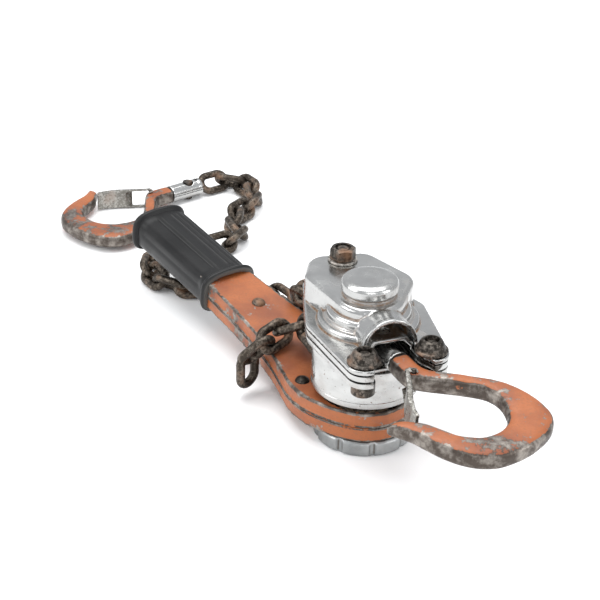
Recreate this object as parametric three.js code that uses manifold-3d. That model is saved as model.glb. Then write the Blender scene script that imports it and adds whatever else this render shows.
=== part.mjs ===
// Ratchet lever chain hoist, lying on its hand wheel. Millimetres, +Z up, Z = 0 under the hand wheel.
// The main axis is Z. The frame, the lever and the hook are each drawn along their own +X and then turned.
import * as THREE from "three";
import { mergeVertices } from "three/addons/utils/BufferGeometryUtils.js";
import Module from "manifold-3d";

const wasm = await Module();
wasm.setup();

// ---- Driving dimensions ----
const gap = 0.3; // between pieces that touch
const round = 36; // sides of a large round piece
const frameTurn = -69.5; // degrees about Z, from +X to the hook end of the frame
const leverTurn = 126.8;
const hookSwing = 10; // the hook's turn from the frame's own line
const hookDroop = 6; // the yoke hangs down this much on its worn pin

const wheel = { radius: 33.4, height: 10.5, lobes: 9, grooveRadius: 3.4, grooveAt: 34.6, firstGroove: -80 };
const drum = { radius: 36, wall: 2.5, bottom: 37.5, top: 71.2, floor: 2.2 };
const plate = { lower: [71.5, 75], upper: [76.5, 80], slot: 14.2, slotFrom: 9.5 };
// The slot's half width at each distance along the frame, out to its flared mouth.
const slotMouth = [
  [46, 14.4],
  [51, 16],
  [55, 18.4],
  [62, 21],
  [70, 21],
];
const cover = { bottom: 81, flangeTop: 84.5, top: 103, wall: 3, ringRadius: 33, ringTop: 88.5 };
const dome = { radius: 18.6, bottom: 106.4, top: 115.4, collar: 16.8, stepRadius: 27.5, stepTop: 95.5 };
const hood = { centre: 84.5, outer: 18.8, inner: 16.4, back: 6, front: 37 };
const bridge = { halfWidth: 16, back: 12.2, front: 36, low: 64.8, high: 89.4, skin: 2.4 };
const studs = [
  { name: "left", x: 49, y: -22.5 },
  { name: "right", x: 49, y: 22.5 },
  { name: "back", x: -50, y: 1 },
];
const studRadius = 4.3;
const pinX = 24; // top pin, along the frame
const pinRadius = 4;

const shaftRadius = 5.7;
const gear = { module: 1, small: 10, large: 34, centres: 22, low: [90.4, 93], high: [93.4, 96] };
const sheave = { bottom: 41.2, top: 64.4, rim: 24, flange: 1, seat: 15.7, groove: 8.6, neck: 9, bore: 6.3 };

const link = { wire: 6.1, pitch: 19, width: 20.8 };
const slackStep = 18.5; // spacing of slack links, a little under the pitch

const lever = {
  bottom: 10.8,
  top: 32.3,
  seam: 21.85,
  wall: 2.2,
  lip: 1.3,
  hubHole: 29.8,
  bendAt: 50,
  rise: 6.5, // degrees that the arm climbs
  armEnd: 202,
};
// Half the lever's width at each distance along it.
const leverHalf = [
  [-32, 0],
  [-30.4, 9.9],
  [-24.5, 20.6],
  [-13, 29.6],
  [3, 36.2],
  [18, 39],
  [34, 37.6],
  [50, 32.4],
  [70, 27.2],
  [95, 23.2],
  [125, 20.2],
  [160, 18.4],
  [205, 16.8],
  [252, 16.4],
];
const grip = { from: 112, to: 214, halfWidth: 21, halfHeight: 15, lip: 2.6, lipLength: 5, corner: 11 };
const rivets = { x: 31, y: 28.5 };

const hook = { thick: 13, bevel: 2.4 };
const yoke = { radius: 7.5, back: -12, front: 18.5, pinHole: 4.9, stem: 4.6, head: 6, headFrom: 7, headTo: 11 };

// ---- Materials ----
const paint = () => new THREE.MeshStandardMaterial({ color: 0xb4622f, roughness: 0.55, metalness: 0.1 });
const bright = () => new THREE.MeshStandardMaterial({ color: 0xc4c6c6, roughness: 0.25, metalness: 1 });
const steel = () => new THREE.MeshStandardMaterial({ color: 0x8c8c88, roughness: 0.4, metalness: 1 });
const dark = () => new THREE.MeshStandardMaterial({ color: 0x3a3733, roughness: 0.6, metalness: 0.8 });
const chainSteel = () => new THREE.MeshStandardMaterial({ color: 0x4b4740, roughness: 0.6, metalness: 0.8 });
const aluminium = () => new THREE.MeshStandardMaterial({ color: 0x9fa2a3, roughness: 0.45, metalness: 1 });
const rubber = () => new THREE.MeshStandardMaterial({ color: 0x111213, roughness: 0.6, metalness: 0 });
const lining = () => new THREE.MeshStandardMaterial({ color: 0x5b4a3c, roughness: 0.9, metalness: 0 });

// ---- Solids ----
const rad = THREE.MathUtils.degToRad;

// A closed geometry as a solid, turned right side out if its faces point inwards.
function solid(geometry) {
  const bare = geometry.index ? geometry.toNonIndexed() : geometry.clone();
  bare.deleteAttribute("normal");
  bare.deleteAttribute("uv");
  const merged = mergeVertices(bare, 1e-4);
  const triVerts = new Uint32Array(merged.index.array);
  const vertProperties = merged.attributes.position.array;
  const made = new wasm.Manifold(new wasm.Mesh({ numProp: 3, vertProperties, triVerts }));
  if (made.volume() >= 0) return made;
  for (let i = 0; i < triVerts.length; i += 3) {
    [triVerts[i + 1], triVerts[i + 2]] = [triVerts[i + 2], triVerts[i + 1]];
  }
  return new wasm.Manifold(new wasm.Mesh({ numProp: 3, vertProperties, triVerts }));
}

function geometryOf(made) {
  const mesh = made.getMesh();
  const geometry = new THREE.BufferGeometry();
  geometry.setAttribute("position", new THREE.BufferAttribute(new Float32Array(mesh.vertProperties), 3));
  geometry.setIndex(new THREE.BufferAttribute(new Uint32Array(mesh.triVerts), 1));
  const flat = geometry.toNonIndexed();
  flat.computeVertexNormals();
  return flat;
}

const join = (...parts) => parts.reduce((a, b) => a.add(b));
const cut = (body, ...tools) => tools.reduce((a, b) => a.subtract(b), body);

function moved(made, x, y, z, turnDegrees = 0) {
  const matrix = new THREE.Matrix4().makeRotationZ(rad(turnDegrees)).setPosition(x, y, z);
  return made.transform(matrix.elements);
}

// A round piece from a closed [radius, height] profile about Z.
function turned(profile, sides = round) {
  const points = [...profile, profile[0]].map(([r, z]) => new THREE.Vector2(r, z));
  return solid(new THREE.LatheGeometry(points, sides).rotateX(Math.PI / 2));
}

const rod = (radius, low, high, sides = 24) =>
  turned([[0, low], [radius, low], [radius, high], [0, high]], sides);

const ring = (inner, outer, low, high, sides = round) =>
  turned([[inner, low], [outer, low], [outer, high], [inner, high]], sides);

function rodAt(x, y, radius, low, high, sides = 20) {
  return moved(rod(radius, low, high, sides), x, y, 0);
}

function box(x0, x1, y0, y1, z0, z1) {
  const geometry = new THREE.BoxGeometry(x1 - x0, y1 - y0, z1 - z0);
  return solid(geometry.translate((x0 + x1) / 2, (y0 + y1) / 2, (z0 + z1) / 2));
}

// A flat outline [[x, y], ...] raised from low to high.
function prism(points, low, high, bevel = 0) {
  const shape = new THREE.Shape(points.map(([x, y]) => new THREE.Vector2(x, y)));
  const geometry = new THREE.ExtrudeGeometry(shape, {
    depth: high - low - 2 * bevel,
    bevelEnabled: bevel > 0,
    bevelThickness: bevel,
    bevelSize: bevel,
    bevelOffset: -bevel,
    bevelSegments: 1,
    curveSegments: 1,
  });
  return solid(geometry.translate(0, 0, low + bevel));
}

// The tight outline around a list of discs [x, y, radius].
function hull(discs, grow = 0, sides = 12) {
  const points = [];
  for (const [x, y, radius] of discs) {
    for (let i = 0; i < sides; i++) {
      const a = (2 * Math.PI * i) / sides;
      points.push([x + (radius + grow) * Math.cos(a), y + (radius + grow) * Math.sin(a)]);
    }
  }
  points.sort((a, b) => a[0] - b[0] || a[1] - b[1]);
  const turn = (o, a, b) => (a[0] - o[0]) * (b[1] - o[1]) - (a[1] - o[1]) * (b[0] - o[0]);
  const half = (list) => {
    const out = [];
    for (const p of list) {
      while (out.length > 1 && turn(out[out.length - 2], out[out.length - 1], p) <= 1e-6) out.pop();
      out.push(p);
    }
    return out.slice(0, -1);
  };
  return [...half(points), ...half([...points].reverse())];
}

// An outline drawn across the frame (y, z), raised along X from x0 to x1.
function alongX(points, x0, x1) {
  const shape = new THREE.Shape(points.map(([y, z]) => new THREE.Vector2(y, z)));
  const geometry = new THREE.ExtrudeGeometry(shape, { depth: x1 - x0, bevelEnabled: false });
  const toX = new THREE.Matrix4().makeBasis(
    new THREE.Vector3(0, 1, 0),
    new THREE.Vector3(0, 0, 1),
    new THREE.Vector3(1, 0, 0),
  );
  return solid(geometry.applyMatrix4(toX).translate(x0, 0, 0));
}

// Half of a barrel's section: an arch of the given radius on a flat base.
function arch(radius, centre, base, sides = 10) {
  const points = [[radius, base]];
  for (let i = 0; i <= sides; i++) {
    const a = (Math.PI * i) / sides;
    points.push([radius * Math.cos(a), centre + radius * Math.sin(a)]);
  }
  points.push([-radius, base]);
  return points.filter((p, i) => i === 0 || Math.hypot(p[0] - points[i - 1][0], p[1] - points[i - 1][1]) > 1e-3);
}

// A spur gear's outline: straight-flanked teeth with room to turn in mesh.
function gearOutline(teeth, start, module = gear.module) {
  const tip = (module * teeth) / 2 + 0.8 * module;
  const root = tip - 1.9 * module;
  const points = [];
  const share = [
    [root, 0.2],
    [tip, 0.09],
  ];
  for (let i = 0; i < teeth; i++) {
    const mid = start + (360 * i) / teeth;
    const at = (radius, part) => {
      const a = rad(mid + (part * 360) / teeth);
      points.push([radius * Math.cos(a), radius * Math.sin(a)]);
    };
    for (const [radius, part] of share) at(radius, -part);
    for (const [radius, part] of [...share].reverse()) at(radius, part);
  }
  return points;
}

// ---- Chain ----
function linkSolid(radialSides = 4, sides = 6) {
  const bend = (link.width - link.wire) / 2;
  const reach = (link.pitch + link.wire) / 2 - bend;
  const geometry = new THREE.TorusGeometry(bend, link.wire / 2, radialSides, sides);
  const position = geometry.attributes.position;
  for (let i = 0; i < position.count; i++) {
    const x = position.getX(i);
    position.setX(i, x + Math.sign(x) * reach);
  }
  return solid(geometry);
}
const oneLink = linkSolid();

// A run of links along a smooth route, welded into one piece.
// Every other link is turned a quarter; the roll leans the run about its route and may change along it.
function makeLinks(curve, start, count, rollFrom, rollTo, step = slackStep) {
  const total = curve.getLength();
  const pointAt = (length) => curve.getPointAt(THREE.MathUtils.clamp(length / total, 0, 1));
  let body = null;
  for (let i = 0; i < count; i++) {
    const from = pointAt(start + step * i);
    const to = pointAt(start + step * (i + 1));
    const forward = to.clone().sub(from).normalize();
    const side = new THREE.Vector3(-forward.y, forward.x, 0).normalize();
    const up = forward.clone().cross(side);
    const lean = rollFrom + ((rollTo - rollFrom) * i) / (count - 1);
    const turn = rad(lean + 90 * (i % 2));
    const across = side.multiplyScalar(Math.cos(turn)).addScaledVector(up, Math.sin(turn));
    const matrix = new THREE.Matrix4().makeBasis(forward, across, forward.clone().cross(across));
    matrix.setPosition(from.clone().add(to).multiplyScalar(0.5));
    const placed = oneLink.transform(matrix.elements);
    const weld = solid(new THREE.OctahedronGeometry(2.6).translate(from.x, from.y, from.z));
    body = body ? join(body, placed, weld) : placed;
  }
  // The outer skin alone, without the pinholes that the welds close off.
  return body.decompose().sort((a, b) => b.volume() - a.volume())[0];
}

// ---- The scene ----
const hoist = new THREE.Group();
const frame = new THREE.Group();
frame.rotation.z = rad(frameTurn);
const leverGroup = new THREE.Group();
leverGroup.rotation.z = rad(leverTurn);
hoist.add(frame, leverGroup);

function place(parent, name, made, material) {
  const mesh = new THREE.Mesh(geometryOf(made), material);
  mesh.name = name;
  parent.add(mesh);
  return mesh;
}

// Outlines of the frame, drawn with the hook end at +X.
const flangeDiscs = [
  [studs[0].x, studs[0].y, 11.6],
  [studs[1].x, studs[1].y, 11.6],
  [-6, -26, 14],
  [-8, 29, 14],
  [-53, -11, 14],
  [-50, 13, 14],
];
const plateauDiscs = [
  [-49, -10.5, 13],
  [-46, 12.5, 13],
  [-37, -19, 11],
  [-16, 22, 15],
  [0, 0, 23.5],
];

// The slot that the yoke swings in: it widens towards its mouth.
function slotTool(low, high) {
  const { slot, slotFrom } = plate;
  const side = [[slotFrom, slot], ...slotMouth];
  return prism([...side, ...side.map(([x, y]) => [x, -y]).reverse()], low, high);
}

function studHoles(low, high, radius = studRadius + gap) {
  return studs.map((s) => rodAt(s.x, s.y, radius, low, high, 16));
}

function makePlates() {
  const [low0, low1] = plate.lower;
  const pocket = box(bridge.back, 34, -bridge.halfWidth, bridge.halfWidth, bridge.low, low1);
  const lowerBody = join(prism(hull(flangeDiscs, -0.4), low0, low1, 0.5), pocket);
  const lower = cut(
    lowerBody,
    slotTool(bridge.low + bridge.skin, low1 + 1),
    rod(sheave.neck + 0.6, 50, 90),
    rodAt(pinX, 0, pinRadius + gap, 50, 90),
    ...studHoles(60, 90),
  );
  place(frame, "side_plate_lower", lower, steel());

  const [up0, up1] = plate.upper;
  const w = bridge.halfWidth;
  const chamfer = 5;
  const section = [
    [w, up0],
    [w, bridge.high - chamfer],
    [w - chamfer, bridge.high],
    [chamfer - w, bridge.high],
    [-w, bridge.high - chamfer],
    [-w, up0],
  ];
  const top = bridge.high - bridge.skin;
  const inner = [
    [plate.slot, up0 - 1],
    [plate.slot, top - chamfer],
    [plate.slot - chamfer, top],
    [chamfer - plate.slot, top],
    [-plate.slot, top - chamfer],
    [-plate.slot, up0 - 1],
  ];
  const upper = cut(
    join(prism(hull(flangeDiscs, -0.4), up0, up1, 0.5), alongX(section, bridge.back, bridge.front)),
    alongX(inner, plate.slotFrom, 80),
    slotTool(up0 - 1, up1 + 0.5),
    rod(sheave.neck + 0.6, 60, 100),
    rodAt(pinX, 0, pinRadius + gap, 60, 100),
    rodAt(-gear.centres, 0, 3 + gap, 60, 100, 16),
    ...studHoles(60, 100),
  );
  place(frame, "side_plate_upper", upper, steel());
}

function makeDrum() {
  const { radius, wall, bottom, top, floor } = drum;
  const shell = turned([
    [7.5, bottom],
    [radius - 2, bottom],
    [radius, bottom + 2],
    [radius, top],
    [radius - wall, top],
    [radius - wall, bottom + floor],
    [7.5, bottom + floor],
  ]);
  const made = cut(
    shell,
    box(-60, -8, -32, 32, 41.6, 66.4),
    box(0, 60, -17, 17, 64.4, 80),
    ...pawlPins.map((p) => rodAt(p.x, p.y, 2 + gap, 30, 50, 12)),
  );
  place(frame, "brake_drum", made, bright());
  place(frame, "sheave_bearing", ring(7.2, 12.5, bottom + floor + 0.2, sheave.bottom - 0.2, 24), steel());
}

// The gear cover: a flange, a raised floor over the gears, a round cap and a hood over the yoke.
function makeCover() {
  const { bottom, flangeTop, top, wall, ringRadius, ringTop } = cover;
  const flange = prism(hull(flangeDiscs), bottom, flangeTop, 0.8);
  const plateau = prism(hull(plateauDiscs), bottom + 1, top, 2.2);
  const rings = turned([
    [0, bottom + 1],
    [ringRadius, bottom + 1],
    [ringRadius, ringTop - 1],
    [ringRadius - 1, ringTop],
    [dome.stepRadius + 1.5, ringTop],
    [dome.stepRadius, ringTop + 1.5],
    [dome.stepRadius, dome.stepTop - 1.5],
    [dome.stepRadius - 1.5, dome.stepTop],
    [22.5, dome.stepTop],
    [21, top],
    [dome.collar, top + 0.6],
    [dome.collar, dome.bottom],
    [dome.radius, dome.bottom + 1.2],
    [dome.radius, dome.top - 3.6],
    [dome.radius - 1.2, dome.top - 1.2],
    [dome.radius - 4.6, dome.top],
    [0, dome.top],
  ], 28);
  const back = prism(hull([[hood.back, 0, hood.outer - 1]]), bottom + 1, 98, 3);
  const arched = alongX(arch(hood.outer, hood.centre, bottom + 1), hood.back, hood.front);
  const outside = join(flange, plateau, rings, back, arched);

  const inside = prism(hull(plateauDiscs, -wall), bottom - 1, top - wall);
  const insideRings = turned([
    [0, bottom - 1],
    [ringRadius - wall, bottom - 1],
    [ringRadius - wall, ringTop - wall],
    [dome.stepRadius - wall, ringTop - wall],
    [dome.stepRadius - wall, dome.stepTop - wall],
    [19, dome.stepTop - wall],
    [19, top - wall],
    [9, top - wall],
    [9, 99],
    [4.2, 99],
    [4.2, 106],
    [0, 106],
  ], 16);
  const insideHood = alongX(arch(hood.inner, hood.centre, bottom - 1), bridge.back - 1, 80);
  const made = cut(
    outside,
    inside,
    insideRings,
    insideHood,
    slotTool(bottom - 1, flangeTop + 0.4),
    ...studHoles(70, 120),
  );
  const backStud = studs[2];
  const post = ring(studRadius + gap, 8, bottom, top - 1, 20);
  place(frame, "gear_cover", join(made, moved(post, backStud.x, backStud.y, 0)), bright());
}

// Stays through the frame, with their nuts.
function makeStuds() {
  const [left, right, back] = studs;
  for (const s of [left, right]) {
    place(frame, `stay_bolt_${s.name}`, rodAt(s.x, s.y, studRadius, 63.5, 91, 16), dark());
    const nut = turned([
      [studRadius + gap, 84.8],
      [10.8, 84.8],
      [10.8, 86.2],
      [7.6, 90.6],
      [6.2, 92.6],
      [4.9, 93],
      [studRadius + gap, 92.2],
    ], 18);
    place(frame, `cap_nut_${s.name}`, moved(nut, s.x, s.y, 0), dark());
  }
  place(frame, "stay_bolt_back", rodAt(back.x, back.y, studRadius, 63.5, 112.2, 16), dark());
  const hex = cut(
    prism(hexagon(8.8), 105, 112.6, 0.6),
    rod(studRadius + gap, 90, 120, 16),
    rod(5.4, 111.6, 120, 20),
  );
  place(frame, "hex_nut_back", moved(hex, back.x, back.y, 0), dark());
  const washer = ring(studRadius + gap, 10, 103.3, 104.7, 20);
  place(frame, "washer_back", moved(washer, back.x, back.y, 0), dark());
  for (const s of studs) {
    const lowNut = ring(studRadius + gap, 7.6, 62.4, 71.2, 14);
    place(frame, `lower_nut_${s.name}`, moved(lowNut, s.x, s.y, 0), dark());
  }
}

function hexagon(radius) {
  const points = [];
  for (let i = 0; i < 6; i++) {
    points.push([radius * Math.cos(rad(60 * i + 20)), radius * Math.sin(rad(60 * i + 20))]);
  }
  return points;
}

// The load sheave and the gears that drive it.
function makeTrain() {
  const { bottom, top, rim, flange, seat, groove, neck, bore } = sheave;
  const mid = (bottom + top) / 2;
  const body = turned([
    [bore, bottom],
    [rim, bottom],
    [rim, bottom + flange],
    [seat, bottom + flange],
    [seat, mid - 3.8],
    [groove, mid - 3.8],
    [groove, mid + 3.8],
    [seat, mid + 3.8],
    [seat, top - flange],
    [rim, top - flange],
    [rim, top],
    [neck, top],
    [neck, gear.low[0] - gap],
    [7.2, gear.low[0] - gap],
    [7.2, gear.low[1]],
    [bore, gear.low[1]],
  ], 24);
  const pockets = [];
  for (let i = 0; i < 6; i++) {
    const notch = box(rim - 3.5, rim + 3, -4.5, 4.5, bottom - 1, top + 1);
    pockets.push(moved(notch, 0, 0, 0, 60 * i + 30));
  }
  place(frame, "load_sheave", cut(body, ...pockets), steel());

  const loadGear = cut(prism(gearOutline(gear.large, 180 / gear.large), ...gear.low), rod(7.2 + gap, 80, 100));
  place(frame, "load_gear", loadGear, steel());

  const smallGear = prism(gearOutline(gear.small, 0), gear.low[0], gear.low[1] + 0.2);
  const largeGear = prism(gearOutline(gear.large, 0), gear.high[0] - 0.2, gear.high[1]);
  const spindleHole = rod(3 + gap, 70, 100, 16);
  const layshaft = cut(join(smallGear, largeGear, rod(3.9, 80.6, gear.low[0] + 0.5, 20)), spindleHole);
  place(frame, "layshaft_gear", moved(layshaft, -gear.centres, 0, 0), steel());
  place(frame, "layshaft_spindle", rodAt(-gear.centres, 0, 3, 76.5, 96.4, 16), steel());

  const shaft = join(
    rod(shaftRadius, 9, gear.high[0] - 0.4, 24),
    prism(gearOutline(gear.small, 180 + 180 / gear.small), gear.high[0] - 0.5, gear.high[1]),
    rod(3.8, gear.high[1] - 0.5, 105, 20),
    rod(4, 1.1, 9.5, 16),
  );
  place(frame, "drive_shaft", shaft, steel());
}

// The screw brake inside the lever's hub: change gear, two linings, ratchet disc and brake hub.
const pawlPins = [65, 245].map((angle) => ({
  angle,
  x: 25.3 * Math.cos(rad(angle)),
  y: 25.3 * Math.sin(rad(angle)),
}));

function toothed(count, tip, root, lean, low, high) {
  const points = [];
  for (let i = 0; i < count; i++) {
    const a = (2 * Math.PI * i) / count;
    const b = a + (2 * Math.PI * lean) / count;
    points.push([root * Math.cos(a), root * Math.sin(a)]);
    points.push([tip * Math.cos(b), tip * Math.sin(b)]);
  }
  return prism(points, low, high);
}

function makeBrake() {
  const changeGear = cut(
    join(
      toothed(12, 17, 13.6, 0.5, 13.4, 20.8),
      rod(19.3, 20.6, 23, 32),
      rod(8.4, 11.1, 13.6, 24),
    ),
    rod(shaftRadius + gap, 0, 40, 20),
  );
  place(frame, "change_gear", changeGear, steel());
  place(frame, "lining_lower", ring(9.4, 19.3, 23.3, 25.8, 24), lining());
  const ratchet = cut(toothed(16, 20, 17.4, 0.12, 26.1, 30.6), rod(9.4, 20, 40, 24));
  place(frame, "ratchet_disc", ratchet, steel());
  place(frame, "lining_upper", ring(9.4, 19.3, 30.9, 33.4, 24), lining());
  const hub = turned([
    [shaftRadius + gap, 23.3],
    [9, 23.3],
    [9, 33.7],
    [19.3, 33.7],
    [19.3, 37.1],
    [shaftRadius + gap, 37.1],
  ], 24);
  place(frame, "brake_hub", hub, steel());

  pawlPins.forEach((pin, i) => {
    const letter = "ab"[i];
    place(frame, `pawl_pin_${letter}`, rodAt(pin.x, pin.y, 2, 25.8, 39.5, 12), steel());
    const finger = [
      [-1.5, 3.4],
      [-3.4, 0],
      [-1.5, -3.2],
      [2.5, -3.5],
      [13.2, -2.9],
      [13.4, -1.3],
      [4, 3],
    ];
    const pawl = cut(prism(finger, 26.4, 30.3), rod(2 + gap, 20, 40, 12));
    place(frame, `pawl_${letter}`, moved(pawl, pin.x, pin.y, 0, pin.angle - 90 - 17), steel());
  });
}

function makeWheel() {
  const { radius, height, lobes, grooveRadius, grooveAt, firstGroove } = wheel;
  const body = turned([
    [4 + gap, 2.6],
    [12, 2.6],
    [14, 5.4],
    [26, 5.4],
    [28.4, 0],
    [radius - 1.2, 0],
    [radius, 1.2],
    [radius, height - 1.4],
    [radius - 1.6, height],
    [24, height],
    [22, height - 2],
    [9.5, height - 2],
    [9.5, height],
    [4 + gap, height],
  ], 27);
  const grooves = [];
  for (let i = 0; i < lobes; i++) {
    const a = rad(firstGroove - frameTurn + (360 * i) / lobes);
    grooves.push(rodAt(grooveAt * Math.cos(a), grooveAt * Math.sin(a), grooveRadius, -1, height + 1, 6));
  }
  const shaftHole = rod(shaftRadius + gap, 8.6, 20, 20);
  place(frame, "hand_wheel", cut(body, shaftHole, ...grooves), aluminium());
  place(frame, "wheel_nut", cut(prism(hexagon(8), 0, 2.3), rod(4 + gap, 0.8, 4, 16)), dark());
}

// ---- Lever ----
function leverOutline(grow, from, to) {
  const curve = new THREE.SplineCurve(leverHalf.map(([x, y]) => new THREE.Vector2(x, y)));
  const upper = [];
  for (const p of curve.getPoints(15)) {
    const half = Math.max(0, p.y + grow);
    if (p.x > from && p.x < to && half > 0.5) upper.push([p.x < -28 ? p.x - grow : p.x, half]);
  }
  const endHalf = upper[upper.length - 1][1];
  const startHalf = upper[0][1];
  const start = from > -40 ? [[from, startHalf]] : [];
  const side = [...start, ...upper, [to, endHalf]];
  return [...side, ...side.map(([x, y]) => [x, -y]).reverse()];
}

// Moves a solid drawn along the arm's own line to where the arm climbs from the hub.
function ontoArm(made) {
  const matrix = new THREE.Matrix4().makeRotationY(-rad(lever.rise));
  matrix.setPosition(lever.bendAt, 0, lever.seam);
  return made.transform(matrix.elements);
}

function makeShell(name, low, high, capAtTop) {
  const { wall, lip, bendAt, armEnd, seam } = lever;
  const lipLow = capAtTop ? low : high - 1.5;
  const hubBody = join(
    prism(leverOutline(0, -50, bendAt + 1), low, high, 1.2),
    prism(leverOutline(lip, -50, bendAt + 1), lipLow, lipLow + 1.5),
  );
  const cavityLow = capAtTop ? low - 1 : low + wall;
  const cavityHigh = capAtTop ? high - wall : high + 1;
  const hubCavity = prism(leverOutline(-wall, -50, bendAt + 2), cavityLow, cavityHigh);
  const armBody = join(
    prism(armOutline(0, -1, armEnd), low - seam, high - seam, 1.2),
    prism(armOutline(lip, -1, 108), lipLow - seam, lipLow + 1.5 - seam),
  );
  const armCavity = prism(armOutline(-wall, -3, armEnd - wall), cavityLow - seam, cavityHigh - seam);
  const hubHole = capAtTop ? rod(lever.hubHole, 0, 60, 48) : rod(8.4 + gap, 0, 60, 24);
  const body = cut(join(hubBody, ontoArm(armBody)), hubCavity, ontoArm(armCavity), hubHole);
  const columns = [];
  for (const side of [-1, 1]) columns.push(rodAt(rivets.x, side * rivets.y, 6, low + 1, high - 1, 16));
  const holes = [];
  for (const side of [-1, 1]) holes.push(rodAt(rivets.x, side * rivets.y, 3 + gap, 0, 60, 16));
  const armPost = ontoArm(rodAt(75, 0, 6, low + 1 - seam, high - 1 - seam, 16));
  const armHole = ontoArm(rodAt(75, 0, 3 + gap, -40, 40, 16));
  const knobHole = capAtTop ? [] : [rodAt(selector.x, 0, 3 + gap, 0, 20, 16)];
  const made = cut(join(body, ...columns, armPost), ...holes, armHole, ...knobHole);
  place(leverGroup, name, made, paint());
}

const selector = { x: 46, knobRadius: 8.5 };

function armOutline(grow, from, to) {
  return leverOutline(grow, from + lever.bendAt, to + lever.bendAt).map(([x, y]) => [x - lever.bendAt, y]);
}

function rivetSolid(low, high) {
  return turned([
    [0, low],
    [3.6, low],
    [5, low + 1.4],
    [5, low + 2.4],
    [3, low + 2.4],
    [3, high - 2.4],
    [5, high - 2.4],
    [5, high - 1.4],
    [3.6, high],
    [0, high],
  ], 12);
}

function makeLever() {
  const { bottom, top, seam } = lever;
  makeShell("lever_shell_lower", bottom, seam - gap / 2, false);
  makeShell("lever_shell_upper", seam + gap / 2, top, true);
  const ends = [bottom - 0.2 - 2.4, top + 0.2 + 2.4];
  place(leverGroup, "lever_rivet_left", moved(rivetSolid(...ends), rivets.x, rivets.y, 0), dark());
  place(leverGroup, "lever_rivet_right", moved(rivetSolid(...ends), rivets.x, -rivets.y, 0), dark());
  const armRivet = ontoArm(moved(rivetSolid(ends[0] - seam, ends[1] - seam), 75, 0, 0));
  place(leverGroup, "lever_rivet_arm", armRivet, dark());

  const pawlOutline = [
    [4.5, 4],
    [5, 0],
    [4.5, -4],
    [-10, -6.5],
    [-25.6, -9.4],
    [-27.4, -7],
    [-24.6, -4],
    [-23.8, 0],
    [-24.6, 4],
    [-27.4, 7],
    [-25.6, 9.4],
    [-10, 6.5],
  ];
  const selectorPawl = join(prism(pawlOutline, 13.6, 20.2), rod(3, 10.2, 14, 16));
  place(leverGroup, "selector_pawl", moved(selectorPawl, selector.x, 0, 0), steel());
  const knob = cut(
    join(rod(selector.knobRadius, 5.2, 9.9, 24), box(-4, 16, -3.4, 3.4, 3.4, 7.5)),
    rod(2.2, 0, 5, 12),
  );
  place(leverGroup, "selector_knob", moved(knob, selector.x, 0, 0), dark());
}

// The rubber grip: an oval sleeve, closed at the far end, with a lip at both ends.
function ovalSection(halfWidth, halfHeight, corner) {
  const points = [];
  for (const [sx, sy, from] of [[1, 1, 0], [-1, 1, 90], [-1, -1, 180], [1, -1, 270]]) {
    for (let i = 0; i <= 5; i++) {
      const a = rad(from + 18 * i);
      points.push([
        sx * (halfWidth - corner) + corner * Math.cos(a),
        sy * (halfHeight - corner) + corner * Math.sin(a),
      ]);
    }
  }
  return points;
}

function makeGrip() {
  const { from, to, halfWidth, halfHeight, lip, lipLength, corner } = grip;
  const sleeve = alongX(ovalSection(halfWidth, halfHeight, corner), from, to);
  const lipSection = ovalSection(halfWidth + lip, halfHeight + lip, corner + lip);
  const made = cut(
    join(
      sleeve,
      alongX(lipSection, from, from + lipLength),
      alongX(lipSection, to - lipLength, to),
    ),
    alongX(ovalSection(19.2, 11.7, 3), from - 1, lever.armEnd + 2),
  );
  place(leverGroup, "lever_grip", ontoArm(made), rubber());
}

// ---- Hooks ----
const hookOuter = [
  [31, 7.3], [36, 8.6], [41, 13], [46.5, 21], [53.5, 30], [67, 45.5], [83.5, 54], [100, 56], [111, 52],
  [119, 42.5], [125.5, 24.5], [127, 4.6], [122.7, -8.5], [113.8, -18.5], [102, -26], [86, -33], [77.5, -39.5],
];
const hookTip = [[73.5, -43.8], [70.5, -41], [71, -35]];
const hookInner = [
  [77, -26.5], [84.3, -18], [97, -10.5], [103.4, -2.3], [106.3, 8.5], [102.5, 21.5], [93.4, 30], [80, 34],
  [68.5, 31], [60, 22], [54, 13], [47, 3], [42, -3.6], [37, -6.6], [31, -7.2],
];

function smooth(points, steps) {
  const curve = new THREE.SplineCurve(points.map(([x, y]) => new THREE.Vector2(x, y)));
  return curve.getPoints(steps).map((p) => [p.x, p.y]);
}

function hookOutline() {
  return [
    [19.2, 7],
    [27, 7.4],
    ...smooth(hookOuter, 22),
    ...hookTip,
    ...smooth(hookInner, 18),
    [27, -7.2],
    [19.2, -7],
  ];
}

function hookSolid() {
  const { thick, bevel } = hook;
  const body = prism(hookOutline(), -thick / 2, thick / 2, bevel);
  const stem = alongX(circle(yoke.stem), yoke.headTo - 0.5, 21);
  const head = alongX(circle(yoke.head), yoke.headFrom + gap, yoke.headTo - gap);
  const ear = rodAt(latchPin.x, latchPin.y, 1.9, -10, 10, 12);
  return cut(join(body, stem, head), ear);
}

const latchPin = { x: 38, y: -1.5 };

function circle(radius, sides = 14) {
  const points = [];
  for (let i = 0; i < sides; i++) {
    const a = (2 * Math.PI * (i + 0.5)) / sides;
    points.push([radius * Math.cos(a), radius * Math.sin(a)]);
  }
  return points;
}

// One half of the yoke barrel: side is 1 for the upper half and -1 for the lower.
function yokeHalf(side) {
  const { radius, back, front, pinHole, stem, head, headFrom, headTo } = yoke;
  const whole = join(alongX(circle(radius, 20), back, front), alongX(circle(radius + 0.4, 20), back, back + 3));
  const keep = side > 0 ? box(-40, 40, -20, 20, gap / 2, 20) : box(-40, 40, -20, 20, -20, -gap / 2);
  return cut(
    whole.intersect(keep),
    rod(pinHole, -20, 20, 20),
    alongX(circle(stem + gap), headFrom, 40),
    alongX(circle(head + gap), headFrom, headTo),
    rodAt(-8.5, 0, 1.5 + gap, -20, 20, 12),
  );
}

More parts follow.
